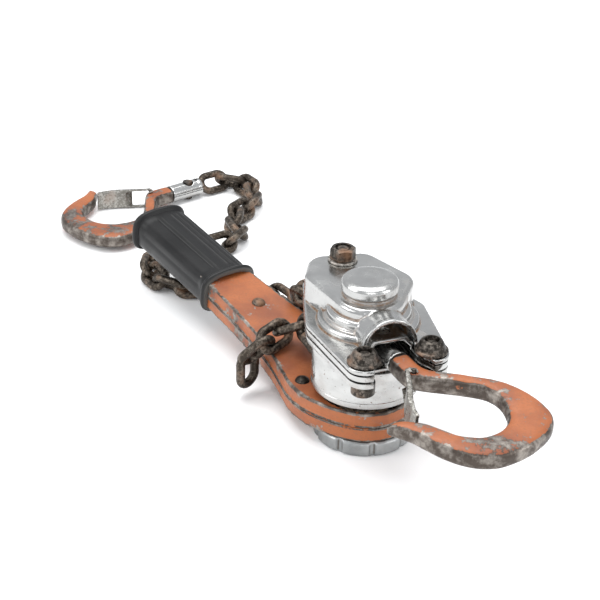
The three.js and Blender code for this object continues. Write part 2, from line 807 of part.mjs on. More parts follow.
function latchSolid() {
  const strip = [
    [0, -3.2], [3, -4.4], [13, -9.4], [24, -16.2], [33, -20.4], [39.4, -21.8],
    [38.8, -23.7], [32, -22.6], [22, -19.3], [11, -12.4], [2, -7.4], [-3, -5], [-3.6, -1], [-1.5, 2.6], [2.5, 2],
  ];
  const plateSolid = prism(strip, -8.1, 8.1);
  const inside = box(-10, 32, -12, 20, -6.9, 6.9);
  return cut(plateSolid, inside, rod(1.3 + gap, -20, 20, 12));
}

function makeHookSet(group, prefix) {
  place(group, `${prefix}_yoke_upper`, yokeHalf(1), bright());
  place(group, `${prefix}_yoke_lower`, yokeHalf(-1), bright());
  place(group, `${prefix}_hook`, hookSolid(), paint());
  place(group, `${prefix}_latch`, moved(latchSolid(), latchPin.x, latchPin.y, 0), steel());
  place(group, `${prefix}_latch_pin`, rodAt(latchPin.x, latchPin.y, 1.3, -8.6, 8.6, 12), dark());
}

function makeTopHook() {
  const group = new THREE.Group();
  group.position.set(pinX, 0, 77.5);
  group.rotation.set(0, rad(hookDroop), rad(hookSwing), "ZYX");
  frame.add(group);
  makeHookSet(group, "top");
  place(frame, "top_pin", rodAt(pinX, 0, pinRadius, 66.2, 88.2, 20), steel());
  place(group, "top_yoke_rivet", rodAt(-8.5, 0, 1.5, -6.6, 6.6, 12), dark());
}

const bottomYoke = { x: -146, y: 362, z: 8.8, turn: 219 };

function makeBottomHook() {
  const group = new THREE.Group();
  group.position.set(bottomYoke.x, bottomYoke.y, bottomYoke.z);
  group.rotation.z = rad(bottomYoke.turn);
  hoist.add(group);
  makeHookSet(group, "bottom");
  place(group, "bottom_yoke_pin", rodAt(0, 0, pinRadius, -7.8, 7.8, 16), dark());
}

// ---- Chain routes ----
function onFrame(x, y, z) {
  const a = rad(frameTurn);
  return [x * Math.cos(a) - y * Math.sin(a), x * Math.sin(a) + y * Math.cos(a), z];
}

const sheaveMid = (sheave.bottom + sheave.top) / 2;
const chainLine = 21.2;
const firstLinkAt = 2.2; // along the route, so that the wrapped run sits evenly round the sheave
const runGap = 0.4; // extra room where one run of links ends and the next begins

// From the free end, over the lever, round the sheave, down and across to the bottom hook.
function chainRoute() {
  const points = [
    [-79, 41, 10],
    [-80, 40, 22],
    [-77, 38, 36],
    [-68, 37, 43],
    [-58, 47, 45],
    [-49, 54, 49],
    [-41, 46, 53],
    onFrame(-36, -chainLine - 0.4, sheaveMid),
    onFrame(-18, -chainLine, sheaveMid),
  ];
  for (let angle = -90; angle <= 90; angle += 30) {
    points.push(onFrame(chainLine * Math.cos(rad(angle)), chainLine * Math.sin(rad(angle)), sheaveMid));
  }
  points.push(
    onFrame(-18, chainLine, sheaveMid),
    onFrame(-36, chainLine + 0.4, sheaveMid),
    [-4, 64, 56],
    [-24, 84, 57],
    [-42, 95, 52],
    [-43, 107, 38],
    [-36, 113, 22],
    [-33, 124, 9],
    [-46, 146, 8.6],
    [-76, 182, 8.6],
    [-112, 184, 8.6],
    [-142, 182, 8.6],
    [-164, 206, 8.6],
    [-154, 238, 8.6],
    [-120, 250, 8.6],
    [-96, 272, 8.6],
    [-104, 306, 8.6],
    [-88, 338, 8.6],
    [-92, 372, 8.6],
    [-114, 386, 8.6],
    [-131.4, 373.9, 8.7],
  );
  return new THREE.CatmullRomCurve3(points.map((p) => new THREE.Vector3(...p)));
}

function makeChain() {
  const curve = chainRoute();
  curve.arcLengthDivisions = 1200;
  const runs = [
    ["chain_tail", 7, 45, 90],
    ["chain_wrap", 4, 0, 0],
    ["chain_load", 10, 0, 45],
  ];
  let start = firstLinkAt;
  for (const [name, count, rollFrom, rollTo] of runs) {
    place(hoist, name, makeLinks(curve, start, count, rollFrom, rollTo), chainSteel());
    start += count * slackStep + runGap;
  }
  const left = curve.getLength() - start;
  const count = Math.floor(left / slackStep);
  place(hoist, "chain_pile", makeLinks(curve, start, count, 45, 45, left / count), chainSteel());
}

makePlates();
makeDrum();
makeCover();
makeStuds();
makeTrain();
makeBrake();
makeWheel();
makeLever();
makeGrip();
makeTopHook();
makeBottomHook();
makeChain();

export default hoist;
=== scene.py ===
import math

import bmesh
import bpy
from mathutils import Matrix, Vector, noise


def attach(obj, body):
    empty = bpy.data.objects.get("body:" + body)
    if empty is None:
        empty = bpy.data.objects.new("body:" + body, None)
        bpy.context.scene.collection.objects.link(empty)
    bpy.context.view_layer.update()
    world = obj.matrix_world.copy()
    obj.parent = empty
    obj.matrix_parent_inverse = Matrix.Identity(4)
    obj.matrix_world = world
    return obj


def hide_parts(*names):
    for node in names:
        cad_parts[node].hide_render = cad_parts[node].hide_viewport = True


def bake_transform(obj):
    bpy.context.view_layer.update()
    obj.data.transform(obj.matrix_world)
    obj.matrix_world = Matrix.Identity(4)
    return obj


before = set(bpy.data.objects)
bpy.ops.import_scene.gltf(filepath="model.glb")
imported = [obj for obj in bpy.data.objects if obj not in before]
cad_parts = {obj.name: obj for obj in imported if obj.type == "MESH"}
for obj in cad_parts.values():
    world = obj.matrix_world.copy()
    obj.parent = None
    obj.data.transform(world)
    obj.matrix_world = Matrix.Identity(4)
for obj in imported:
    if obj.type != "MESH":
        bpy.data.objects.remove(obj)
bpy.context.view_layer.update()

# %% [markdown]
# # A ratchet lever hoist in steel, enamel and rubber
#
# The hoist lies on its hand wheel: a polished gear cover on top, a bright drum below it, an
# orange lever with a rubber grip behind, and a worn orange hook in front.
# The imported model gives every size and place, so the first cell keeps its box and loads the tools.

MM = 0.001
FRAME_TURN = -69.5  # the frame's long axis, from +X to the hook end, in degrees
LEVER_TURN = 126.8
PIN_X, PIN_Z = 24, 77.5  # the top pin along the frame, and the yoke's height on it
HOOK_SWING = 10  # the yoke's turn from the frame's own line
HOOK_DROOP = 6  # how far the yoke hangs down on its pin


def turned_to(degrees, x=0, y=0, z=0):
    """The matrix that turns a drawing about +Z and then moves it, all in millimetres."""
    return Matrix.Translation((x, y, z)) @ Matrix.Rotation(math.radians(degrees), 4, "Z")


ON_FRAME = turned_to(FRAME_TURN)
ON_LEVER = turned_to(LEVER_TURN)
ON_TOP_HOOK = (
    ON_FRAME
    @ Matrix.Translation((PIN_X, 0, PIN_Z))
    @ Matrix.Rotation(math.radians(HOOK_SWING), 4, "Z")
    @ Matrix.Rotation(math.radians(HOOK_DROOP), 4, "Y")
)
ON_BOTTOM_HOOK = turned_to(219, -146, 362, 8.8)

# %% [markdown]
# ## The camera and the light
#
# A long lens from above and in front keeps the hoist's proportions calm. The light is a big soft
# box overhead, a weaker one on each side and a pale floor, which is what polished metal needs: wide
# bright shapes to reflect, with something darker between them.

# %% Camera
bpy.ops.object.select_all(action="DESELECT")
forward = Vector((0, 0.87882, -0.47716)).normalized()
right = Vector((0.99966, 0.01249, 0.02300))
right = (right - right.dot(forward) * forward).normalized()
upward = right.cross(forward)
bpy.ops.object.camera_add()
camera = bpy.context.object
camera.matrix_world = Matrix.Translation((-0.0443, -0.8446, 0.5560)) @ Matrix(
    (
        (right.x, upward.x, -forward.x, 0),
        (right.y, upward.y, -forward.y, 0),
        (right.z, upward.z, -forward.z, 0),
        (0, 0, 0, 1),
    )
)
camera.data.sensor_width = 36
camera.data.lens = 90
camera.data.clip_start = 0.01
bpy.context.scene.camera = camera
print("camera at", tuple(round(v, 3) for v in camera.location))


# %% Lights and floor
def soft_box(name, place, size, power, aim=(0, 0, 0.05)):
    """A square area light at a place, facing the aim."""
    bpy.ops.object.light_add(type="AREA", location=place)
    lamp = bpy.context.object
    lamp.name = name
    lamp.rotation_euler = (Vector(aim) - Vector(place)).to_track_quat("-Z", "Y").to_euler()
    lamp.data.shape = "RECTANGLE"
    lamp.data.size, lamp.data.size_y = size
    lamp.data.energy = power
    return lamp


soft_box("overhead", (-0.15, 0.35, 1.5), (1.5, 1.1), 22)
soft_box("left_window", (-1.3, -0.3, 0.8), (0.9, 0.8), 9)
soft_box("right_card", (1.2, -0.5, 0.6), (0.6, 0.7), 5)
soft_box("front_card", (0.1, -1.5, 1.0), (0.9, 0.4), 5)

world = bpy.data.worlds.new("studio")
bpy.context.scene.world = world
world.use_nodes = True
background = world.node_tree.nodes["Background"]
background.inputs["Color"].default_value = (0.9, 0.92, 0.95, 1)
background.inputs["Strength"].default_value = 0.85
bpy.context.scene.view_settings.view_transform = "Standard"

bpy.ops.mesh.primitive_plane_add(size=12, location=(0, 2, -0.0002))
floor = bpy.context.object
floor.name = "studio_floor"

# %% [markdown]
# ## Writing materials as sums
#
# A node tree drawn by hand hides its arithmetic. Here one small class wraps a socket, so that
# `grime * 0.6 + rust` builds the Math nodes itself, and one method makes any other node.


# %% Shader arithmetic
class Wire:
    """A shader socket that Python's own operators work on."""

    def __init__(self, paint, socket):
        self.paint = paint
        self.socket = socket

    def math(self, operation, a, b):
        return self.paint.node("ShaderNodeMath", {"operation": operation}, {0: a, 1: b})

    def __add__(self, other):
        return self.math("ADD", self, other)

    __radd__ = __add__

    def __sub__(self, other):
        return self.math("SUBTRACT", self, other)

    def __rsub__(self, other):
        return self.math("SUBTRACT", other, self)

    def __mul__(self, other):
        return self.math("MULTIPLY", self, other)

    __rmul__ = __mul__

    def larger(self, other):
        return self.math("MAXIMUM", self, other)


class Finish:
    """A material with its node tree, started from one Principled shader."""

    def __init__(self, name, **constants):
        self.material = bpy.data.materials.new(name)
        self.material.use_nodes = True
        self.tree = self.material.node_tree
        self.shader = self.tree.nodes["Principled BSDF"]
        for socket, value in constants.items():
            self.set(socket.replace("_", " "), value)
        self.place = self.node("ShaderNodeTexCoord", {}, {}, "Object")

    def node(self, kind, settings, inputs, output=0):
        made = self.tree.nodes.new(kind)
        for key, value in settings.items():
            setattr(made, key, value)
        for key, value in inputs.items():
            self.feed(made.inputs[key], value)
        return Wire(self, made.outputs[output])

    def feed(self, socket, value):
        if isinstance(value, Wire):
            self.tree.links.new(value.socket, socket)
        elif hasattr(socket.default_value, "__len__") and len(socket.default_value) == 4:
            socket.default_value = (*value, 1)[:4]
        else:
            socket.default_value = value

    def set(self, name, value):
        self.feed(self.shader.inputs[name], value)

    def noise(self, scale, detail=3.0, stretch=(1, 1, 1), offset=(0, 0, 0), roughness=0.55):
        where = self.node(
            "ShaderNodeMapping", {}, {"Vector": self.place, "Scale": stretch, "Location": offset}
        )
        return self.node(
            "ShaderNodeTexNoise",
            {},
            {"Vector": where, "Scale": scale, "Detail": detail, "Roughness": roughness},
            "Fac",
        )

    def step(self, value, low, high, to_low=0.0, to_high=1.0):
        """A smooth ramp of a value between two marks."""
        return self.node(
            "ShaderNodeMapRange",
            {"interpolation_type": "SMOOTHSTEP"},
            {
                "Value": value,
                "From Min": low,
                "From Max": high,
                "To Min": to_low,
                "To Max": to_high,
            },
        )

    def blend(self, first, second, mask):
        """Two colours mixed by a mask."""
        made = self.tree.nodes.new("ShaderNodeMix")
        made.data_type = "RGBA"
        self.feed(made.inputs[0], mask)
        self.feed(made.inputs[6], first)
        self.feed(made.inputs[7], second)
        return Wire(self, made.outputs[2])

    def bump(self, height, strength, distance):
        normal = self.node(
            "ShaderNodeBump",
            {},
            {"Height": height, "Strength": strength, "Distance": distance},
            "Normal",
        )
        self.set("Normal", normal)

    def edges(self):
        """0.5 on the flat, more on worn edges and less in creases."""
        return self.node("ShaderNodeNewGeometry", {}, {}, "Pointiness")

    def facing(self, axis):
        """How far the surface faces along its own X, Y or Z."""
        normal = self.node("ShaderNodeTexCoord", {}, {}, "Normal")
        return self.node("ShaderNodeSeparateXYZ", {}, {0: normal}, axis)


print("shader tools ready")

# %% [markdown]
# ## Bright metal
#
# The gear cover is polished cast alloy and the drum is plated steel. Both are clean on their
# crowns and darker, rusty brown in the creases, so the colour follows the shape.


# %% Polished and plated metal
def polished(name, crease_low, crease_high, tint=(0.5, 0.5, 0.49)):
    finish = Finish(name, Metallic=1.0)
    cloud = finish.noise(26, 4)
    patch = finish.noise(95, 5, offset=(3, 1, 2))
    speck = finish.noise(900, 2)
    crease = finish.step(finish.edges(), crease_high, crease_low)
    stain = finish.step(cloud, 0.52, 0.72) * finish.step(patch, 0.42, 0.68)
    # this mask makes the surface darker and browner in concave creases, found by pointiness, and in
    # random stains
    crease_and_stain = (crease * finish.step(patch, 0.25, 0.6, 0.35, 1.0)).larger(stain * 0.55)
    brown = finish.blend((0.085, 0.045, 0.022), (0.2, 0.11, 0.05), finish.step(speck, 0.35, 0.65))
    clean = finish.blend(tint, tuple(v * 0.8 for v in tint), finish.step(cloud, 0.3, 0.7))
    finish.set("Base Color", finish.blend(clean, brown, crease_and_stain))
    finish.set("Metallic", 1 - crease_and_stain * 0.85)
    finish.set("Roughness", finish.step(patch, 0.3, 0.7, 0.14, 0.3) + crease_and_stain * 0.45)
    finish.bump(patch * 0.6 + speck * 0.3, 0.25, 0.0004)
    return finish.material


def plated(name, tint=(0.52, 0.52, 0.51)):
    finish = Finish(name, Metallic=1.0)
    around = finish.noise(40, 3, stretch=(1, 1, 2.5))
    pits = finish.noise(520, 2, roughness=0.7)
    cloud = finish.noise(38, 4, offset=(1, 4, 2))
    pit = finish.step(pits, 0.66, 0.74)
    film = finish.step(cloud, 0.5, 0.75) * 0.5
    clean = finish.blend(tint, tuple(v * 0.85 for v in tint), finish.step(around, 0.35, 0.7))
    finish.set("Base Color", finish.blend(clean, (0.16, 0.1, 0.06), pit.larger(film * 0.5)))
    finish.set("Metallic", 1 - pit * 0.6)
    finish.set("Roughness", finish.step(around, 0.3, 0.7, 0.12, 0.28) + pit * 0.4 + film * 0.25)
    finish.bump(around * 0.15 - pit, 0.3, 0.0002)
    return finish.material


COVER_METAL = polished("polished_cover", 0.47, 0.495)
DRUM_METAL = plated("plated_drum")
print("bright metals", COVER_METAL.name, DRUM_METAL.name)

# %% [markdown]
# ## Worn orange enamel
#
# Years of chain and floor have chipped the paint: dark steel shows on edges, the hook's sides
# get the same dark steel as painted shade, and small dark flecks cover the rest. One recipe serves
# the lever and the hooks, with a different share of bare steel and of painted side shade.


# %% Enamel
def enamel(name, chips, sides, edge_low, edge_high):
    """Orange paint: chips is the level that bares the steel, and sides is the share of painted
    shade, in the steel's dark colour, on faces that turn to the side.
    """
    finish = Finish(name)
    broad = finish.noise(28, 5, offset=(2, 0, 5))
    middle = finish.noise(120, 5, offset=(5, 3, 1), roughness=0.65)
    fine = finish.noise(620, 3)
    upright = finish.facing("Z")
    # painted shade: faces that turn to the side are pushed towards the dark steel colour
    side_shade = finish.step(upright * upright, 0.75, 0.3)
    edge = finish.step(finish.edges(), edge_low, edge_high)
    level = broad * 0.45 + middle * 0.4 + fine * 0.15 + side_shade * sides + edge * 0.16
    chips_and_side_shade = finish.step(level, chips, chips + 0.035)
    orange = finish.blend((0.36, 0.105, 0.03), (0.22, 0.058, 0.02), finish.step(broad, 0.35, 0.65))
    dusty = finish.blend(orange, (0.25, 0.1, 0.045), finish.step(fine, 0.5, 0.72, 0, 0.7))
    # this dark steel colour serves both the real chips and the painted shade on the sides
    steel_and_side_shade = finish.blend((0.075, 0.06, 0.05), (0.3, 0.27, 0.24), finish.step(middle, 0.4, 0.7))
    finish.set("Base Color", finish.blend(dusty, steel_and_side_shade, chips_and_side_shade))
    finish.set("Metallic", chips_and_side_shade * 0.8)
    finish.set("Roughness", finish.step(fine, 0.3, 0.7, 0.4, 0.58) - chips_and_side_shade * 0.06)
    finish.bump(middle * 0.25 + fine * 0.25 - chips_and_side_shade * 0.5, 0.4, 0.0004)
    return finish.material


LEVER_PAINT = enamel("lever_enamel", 0.575, 0.05, 0.503, 0.525)
HOOK_PAINT = enamel("hook_enamel", 0.515, 0.16, 0.505, 0.535)
print("enamels", LEVER_PAINT.name, HOOK_PAINT.name)

# %% [markdown]
# ## Dark metals, cast alloy, rubber and lining
#
# The chain and fasteners are oily and brown with age, the wheel is rough cast alloy, and the grip
# is moulded rubber with a soft shine.


# %% The other finishes
def oily_steel(name, dark, light, rust, shine=0.42):
    finish = Finish(name, Metallic=0.9)
    broad = finish.noise(60, 4)
    fine = finish.noise(480, 4, roughness=0.7)
    rubbed = finish.step(fine * 0.6 + broad * 0.4, 0.44, 0.62)
    rusty = finish.step(broad, 0.5, 0.7) * rust
    colour = finish.blend(dark, light, rubbed)
    finish.set("Base Color", finish.blend(colour, (0.2, 0.09, 0.035), rusty))
    finish.set("Metallic", 0.9 - rusty * 0.7)
    finish.set("Roughness", finish.step(fine, 0.3, 0.7, shine - 0.08, shine + 0.16) + rusty * 0.2)
    finish.bump(fine, 0.35, 0.0003)
    return finish.material


def cast_alloy(name):
    finish = Finish(name, Metallic=1.0)
    grain = finish.noise(700, 3, roughness=0.7)
    cloud = finish.noise(45, 4)
    crease = finish.step(finish.edges(), 0.495, 0.47)
    grey = finish.blend((0.27, 0.28, 0.28), (0.42, 0.43, 0.43), finish.step(cloud, 0.35, 0.65))
    finish.set("Base Color", finish.blend(grey, (0.09, 0.07, 0.05), crease * 0.8))
    finish.set("Roughness", finish.step(grain, 0.3, 0.7, 0.34, 0.5) + crease * 0.2)
    finish.bump(grain, 0.4, 0.0003)
    return finish.material


def moulded_rubber(name):
    finish = Finish(name, Specular_IOR_Level=0.3)
    skin = finish.noise(900, 2)
    cloud = finish.noise(40, 3)
    scuff = finish.step(finish.edges(), 0.515, 0.56)
    black = finish.blend((0.003, 0.003, 0.0032), (0.006, 0.006, 0.0063), cloud)
    finish.set("Base Color", finish.blend(black, (0.16, 0.16, 0.15), scuff * 0.6))
    finish.set("Roughness", finish.step(cloud, 0.3, 0.7, 0.3, 0.46))
    finish.bump(skin, 0.15, 0.0002)
    return finish.material


def pressed_lining(name):
    finish = Finish(name)
    fibre = finish.noise(800, 4, roughness=0.8)
    colour = finish.blend((0.16, 0.11, 0.075), (0.36, 0.28, 0.2), finish.step(fibre, 0.35, 0.65))
    finish.set("Base Color", colour)
    finish.set("Roughness", finish.step(fibre, 0.3, 0.7, 0.75, 0.95))
    finish.bump(fibre, 0.4, 0.0003)
    return finish.material


def pale_floor(name):
    finish = Finish(name)
    cloud = finish.noise(3, 2)
    finish.set("Base Color", finish.blend((0.9, 0.9, 0.9), (0.92, 0.92, 0.92), cloud))
    finish.set("Roughness", finish.step(cloud, 0.3, 0.7, 0.75, 0.8))
    return finish.material


CHAIN_STEEL = oily_steel("chain_steel", (0.045, 0.036, 0.028), (0.2, 0.17, 0.14), 0.6)
BLACK_STEEL = oily_steel("blackened_steel", (0.03, 0.026, 0.022), (0.17, 0.15, 0.13), 0.75, 0.36)
GREY_STEEL = oily_steel("grey_steel", (0.2, 0.19, 0.17), (0.5, 0.49, 0.46), 0.35, 0.3)
WHEEL_ALLOY = cast_alloy("wheel_alloy")
GRIP_RUBBER = moulded_rubber("grip_rubber")
BRAKE_LINING = pressed_lining("brake_lining")
floor.data.materials.append(pale_floor("studio_paper"))
print("materials", len(bpy.data.materials))

# %% [markdown]
# ## Modelling tools
#
# Every piece is drawn in millimetres where its own drawing puts it, then turned and scaled into
# the hoist's frame in one step, so that its object stays at the origin. A casting or forging is
# first built as plain overlapping solids; a voxel remesh welds them and a few rounds of
# smoothing give the soft fillets that a mould leaves.


# %% Selecting and finishing
def only(piece):
    """Selects one object and makes it active."""
    bpy.ops.object.select_all(action="DESELECT")
    piece.select_set(True)
    bpy.context.view_layer.objects.active = piece


def in_edit_mode(piece, *steps):
    """Runs mesh steps on all of a piece, in edit mode."""
    only(piece)
    bpy.ops.object.mode_set(mode="EDIT")
    bpy.ops.mesh.select_all(action="SELECT")
    for step in steps:
        step()
    bpy.ops.object.mode_set(mode="OBJECT")


def face_out():
    bpy.ops.mesh.normals_make_consistent(inside=False)


def modify(piece, kind, **settings):
    """Adds a modifier with its settings and applies it."""
    only(piece)
    made = piece.modifiers.new(kind.lower(), kind)
    for key, value in settings.items():
        setattr(made, key, value)
    bpy.ops.object.modifier_apply(modifier=made.name)


def cut(piece, *tools):
    for tool in tools:
        modify(piece, "BOOLEAN", operation="DIFFERENCE", solver="EXACT", object=tool)
        bpy.data.objects.remove(tool)
    return piece


def merge(name, *parts):
    """Several meshes as one object, still overlapping."""
    bpy.ops.object.select_all(action="DESELECT")
    for part in parts:
        part.select_set(True)
    bpy.context.view_layer.objects.active = parts[0]
    bpy.ops.object.join()
    parts[0].name = name
    return parts[0]


def cast(piece, voxel, rounds, factor=0.5):
    """Welds overlapping solids into one skin and softens it."""
    modify(piece, "REMESH", mode="VOXEL", voxel_size=voxel)
    modify(piece, "SMOOTH", factor=factor, iterations=rounds)
    return piece


def round_edges(piece, width, segments=2, degrees=35):
    modify(
        piece,
        "BEVEL",
        width=width,
        segments=segments,
        limit_method="ANGLE",
        angle_limit=math.radians(degrees),
    )
    return piece


def fit(piece, matrix, body, nodes, material, degrees=40):
    """Puts a finished piece in the frame: scaled to metres, in place, riding and replacing."""
    piece.data.transform(Matrix.Scale(MM, 4) @ matrix)
    piece.data.materials.clear()
    piece.data.materials.append(material)
    only(piece)
    bpy.ops.object.shade_smooth_by_angle(angle=math.radians(degrees))
    if body:
        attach(piece, body)
    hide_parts(*nodes)
    print(piece.name, len(piece.data.polygons), "faces")
    return piece


print("tools ready")


# %% Outlines, prisms and turned pieces
def prism(name, outline, low, high):
    """A flat outline raised from low to high: a circle primitive whose rim follows the outline."""
    bpy.ops.mesh.primitive_circle_add(vertices=len(outline), radius=1, fill_type="NGON")
    piece = bpy.context.object
    piece.name = name
    for vertex, (x, y) in zip(piece.data.vertices, outline):
        vertex.co = (x, y, low)
    in_edit_mode(
        piece,
        lambda: bpy.ops.mesh.extrude_region_move(
            TRANSFORM_OT_translate={"value": (0, 0, high - low)}
        ),
        lambda: bpy.ops.mesh.select_all(action="SELECT"),
        face_out,
    )
    return piece


def block(x0, x1, y0, y1, z0, z1):
    """A plain block, used to cut with."""
    return prism("block", [(x0, y0), (x1, y0), (x1, y1), (x0, y1)], z0, z1)


def spun(name, profile, steps=96, closed=True):
    """A profile of (radius, height) spun about Z. An open one starts and ends on the axis."""
    bpy.ops.mesh.primitive_circle_add(vertices=len(profile), radius=1, fill_type="NOTHING")
    piece = bpy.context.object
    piece.name = name
    for vertex, (r, z) in zip(piece.data.vertices, profile):
        vertex.co = (r, 0, z)
    if not closed:
        mesh = bmesh.new()
        mesh.from_mesh(piece.data)
        mesh.verts.ensure_lookup_table()
        last = mesh.edges.get((mesh.verts[0], mesh.verts[len(profile) - 1]))
        mesh.edges.remove(last)
        mesh.to_mesh(piece.data)
        mesh.free()
    in_edit_mode(
        piece,
        lambda: bpy.ops.mesh.spin(
            steps=steps, angle=2 * math.pi, center=(0, 0, 0), axis=(0, 0, 1)
        ),
        lambda: bpy.ops.mesh.select_all(action="SELECT"),
        lambda: bpy.ops.mesh.remove_doubles(threshold=0.001),
        face_out,
    )
    return piece


def rod(x, y, radius, low, high, steps=32):
    bpy.ops.mesh.primitive_cylinder_add(
        vertices=steps, radius=radius, depth=high - low, location=(x, y, (low + high) / 2)
    )
    piece = bpy.context.object
    bpy.ops.object.transform_apply(location=True, rotation=False, scale=False)
    return piece


def around(discs, grow=0, sides=48):
    """The tight outline around discs (x, y, radius)."""
    points = []
    for x, y, radius in discs:
        for i in range(sides):
            a = 2 * math.pi * i / sides
            points.append((x + (radius + grow) * math.cos(a), y + (radius + grow) * math.sin(a)))
    points.sort()

    def half(row):
        out = []
        for p in row:
            while len(out) > 1:
                (ax, ay), (bx, by) = out[-2], out[-1]
                if (bx - ax) * (p[1] - ay) - (by - ay) * (p[0] - ax) > 1e-6:
                    break
                out.pop()
            out.append(p)
        return out[:-1]

    return half(points) + half(points[::-1])


def arch(radius, centre, base, sides=32):
    points = [(radius, base)]
    for i in range(sides + 1):
        a = math.pi * i / sides
        points.append((radius * math.cos(a), centre + radius * math.sin(a)))
    points.append((-radius, base))
    return points


ALONG_X = Matrix(((0, 0, 1, 0), (1, 0, 0, 0), (0, 1, 0, 0), (0, 0, 0, 1)))


def along_x(name, outline, start, end):
    """An outline drawn across the frame, as (y, z), raised along X."""
    piece = prism(name, outline, start, end)
    piece.data.transform(ALONG_X)
    return piece


print("arch points", len(arch(18.8, 84.5, 82)))

# %% [markdown]
# ## The gear cover
#
# The real cover is one casting: a flat flange, a raised floor over the gears, two round steps, a
# dome over the shaft's end and a barrel-shaped hood over the yoke. Modelling its fillets one by
# one would take a day. Instead the plain solids overlap and the remesh rounds every meeting line.

# %% Gear cover
FLANGE = [
    (49, -22.5, 11.6),
    (49, 22.5, 11.6),
    (-6, -26, 14),
    (-8, 29, 14),
    (-53, -11, 14),
    (-50, 13, 14),
]
PLATEAU = [(-49, -10.5, 13), (-46, 12.5, 13), (-37, -19, 11), (-16, 22, 15), (0, 0, 23.5)]
STUDS = {"left": (49, -22.5), "right": (49, 22.5), "back": (-50, 1)}
STUD_RADIUS, STUD_HOLE = 4.3, 4.6
SHAFT_HOLE = 9.6  # room for the sheave's neck
PIN_HOLE = 4.3


SLOT_SIDE = [(9.5, 14.2), (46, 14.4), (51, 16), (55, 18.4), (62, 21), (70, 21)]


def slot_tool(low=50, high=100):
    """The slot that the yoke swings in, with its flared mouth."""
    return prism("slot", [(x, -y) for x, y in SLOT_SIDE] + SLOT_SIDE[::-1], low, high)


def tapered(name, discs, low, high, steps):
    """A stack of prisms, each a little smaller, for a wall with a draft angle and a round top."""
    layers = []
    for shrink, top in steps:
        layers.append(prism(name, around(discs, -shrink), low, high - top))
    return merge(name, *layers)


flange = prism("flange", around(FLANGE), 81.0, 84.2)
plateau = tapered("plateau", PLATEAU, 81.5, 103, ((0, 3.4), (0.35, 1.9), (1.1, 0.8), (2.4, 0)))
rings = spun(
    "rings",
    [
        (0, 82),
        (33, 82),
        (33, 87.4),
        (32, 88.5),
        (29, 88.5),
        (27.5, 90),
        (27.5, 94),
        (26, 95.5),
        (22.6, 95.5),
        (21.2, 102.6),
        (16.8, 103.4),
        (16.8, 106.4),
        (18, 106.7),
        (18.6, 107.8),
        (18.6, 112.4),
        (17.4, 114.3),
        (14, 115.2),
        (0, 115.3),
    ],
    closed=False,
)
hood_back = tapered("hood_back", [(6, 0, 18)], 82, 98.4, ((0, 3.2), (0.8, 1.2), (2.4, 0)))
hood = along_x("hood", arch(18.6, 84.4, 82), 6, 36.8)
hood_lip = along_x("hood_lip", arch(18.8, 84.5, 82), 33.4, 36.8)
cover = merge("cover", flange, plateau, rings, hood_back, hood, hood_lip)
cast(cover, 0.62, 2)
cut(
    cover,
    along_x("mouth", arch(16.4, 84.5, 80), 18, 60),
    slot_tool(80, 85),
    *[rod(*STUDS[side], 4.5, 80, 120) for side in ("left", "right")],
)
modify(cover, "SMOOTH", factor=0.4, iterations=3)
fit(cover, ON_FRAME, "housing", ["gear_cover"], COVER_METAL, 180)

# %% [markdown]
# ## Plates and drum
#
# Two thick steel plates and the cover's flange make three bright edges with dark gaps between
# them. The drum below is a turned cup with a window where the chain runs in and out.


# %% Side plates
def flat_plate(name, low, high):
    """A side plate with the yoke's slot and the holes for the shaft and the stays."""
    plate = prism(name, around(FLANGE, -0.4), low, high)
    stays = [rod(x, y, STUD_HOLE, 50, 100) for x, y in STUDS.values()]
    cut(plate, slot_tool(), rod(0, 0, SHAFT_HOLE, 50, 100), *stays)
    return round_edges(plate, 0.5)


lower_plate = flat_plate("lower_plate", 71.5, 75)
pocket = block(12.2, 34, -16, 16, 64.8, 72.5)
cut(
    pocket,
    block(9, 40, -14.2, 14.2, 67.2, 76),
    rod(0, 0, SHAFT_HOLE, 50, 100),
    rod(PIN_X, 0, PIN_HOLE, 50, 100),
)
round_edges(pocket, 0.4)
lower_plate = merge("plate_lower", lower_plate, pocket)
fit(lower_plate, ON_FRAME, "housing", ["side_plate_lower"], DRUM_METAL)

upper_plate = flat_plate("upper_plate", 76.5, 80)
bridge_outline = [(16, 79), (16, 84.4), (11, 89.4), (-11, 89.4), (-16, 84.4), (-16, 79)]
bridge_inside = [(14.2, 76), (14.2, 82), (9.2, 87), (-9.2, 87), (-14.2, 82), (-14.2, 76)]
bridge = along_x("bridge", bridge_outline, 12.2, 36)
cut(bridge, along_x("inside", bridge_inside, 9, 50), rod(PIN_X, 0, PIN_HOLE, 50, 100))
round_edges(bridge, 0.5)
upper_plate = merge("plate_upper", upper_plate, bridge)
fit(upper_plate, ON_FRAME, "housing", ["side_plate_upper"], DRUM_METAL)

# %% Brake drum
drum = spun(
    "drum",
    [
        (7.5, 37.5),
        (33.6, 37.5),
        (35.2, 38.1),
        (35.9, 39.4),
        (36, 42.2),
        (35.7, 42.5),
        (35.7, 43.1),
        (36, 43.4),
        (36, 70.6),
        (35.5, 71.2),
        (33.5, 71.2),
        (33.5, 39.7),
        (7.5, 39.7),
    ],
)
cut(drum, block(-60, -8, -32, 32, 41.6, 66.4), block(0, 60, -17, 17, 64.4, 80))
round_edges(drum, 0.3, 2, 50)
fit(drum, ON_FRAME, "housing", ["brake_drum"], DRUM_METAL)

# %% [markdown]
# ## Fasteners
#
# The two front stays end in domed flange nuts with a dark hole, the back one in a tall hexagon
# nut with a socket in its top. All are turned or cut from bar, so they are spun or extruded and
# only their edges are rounded.

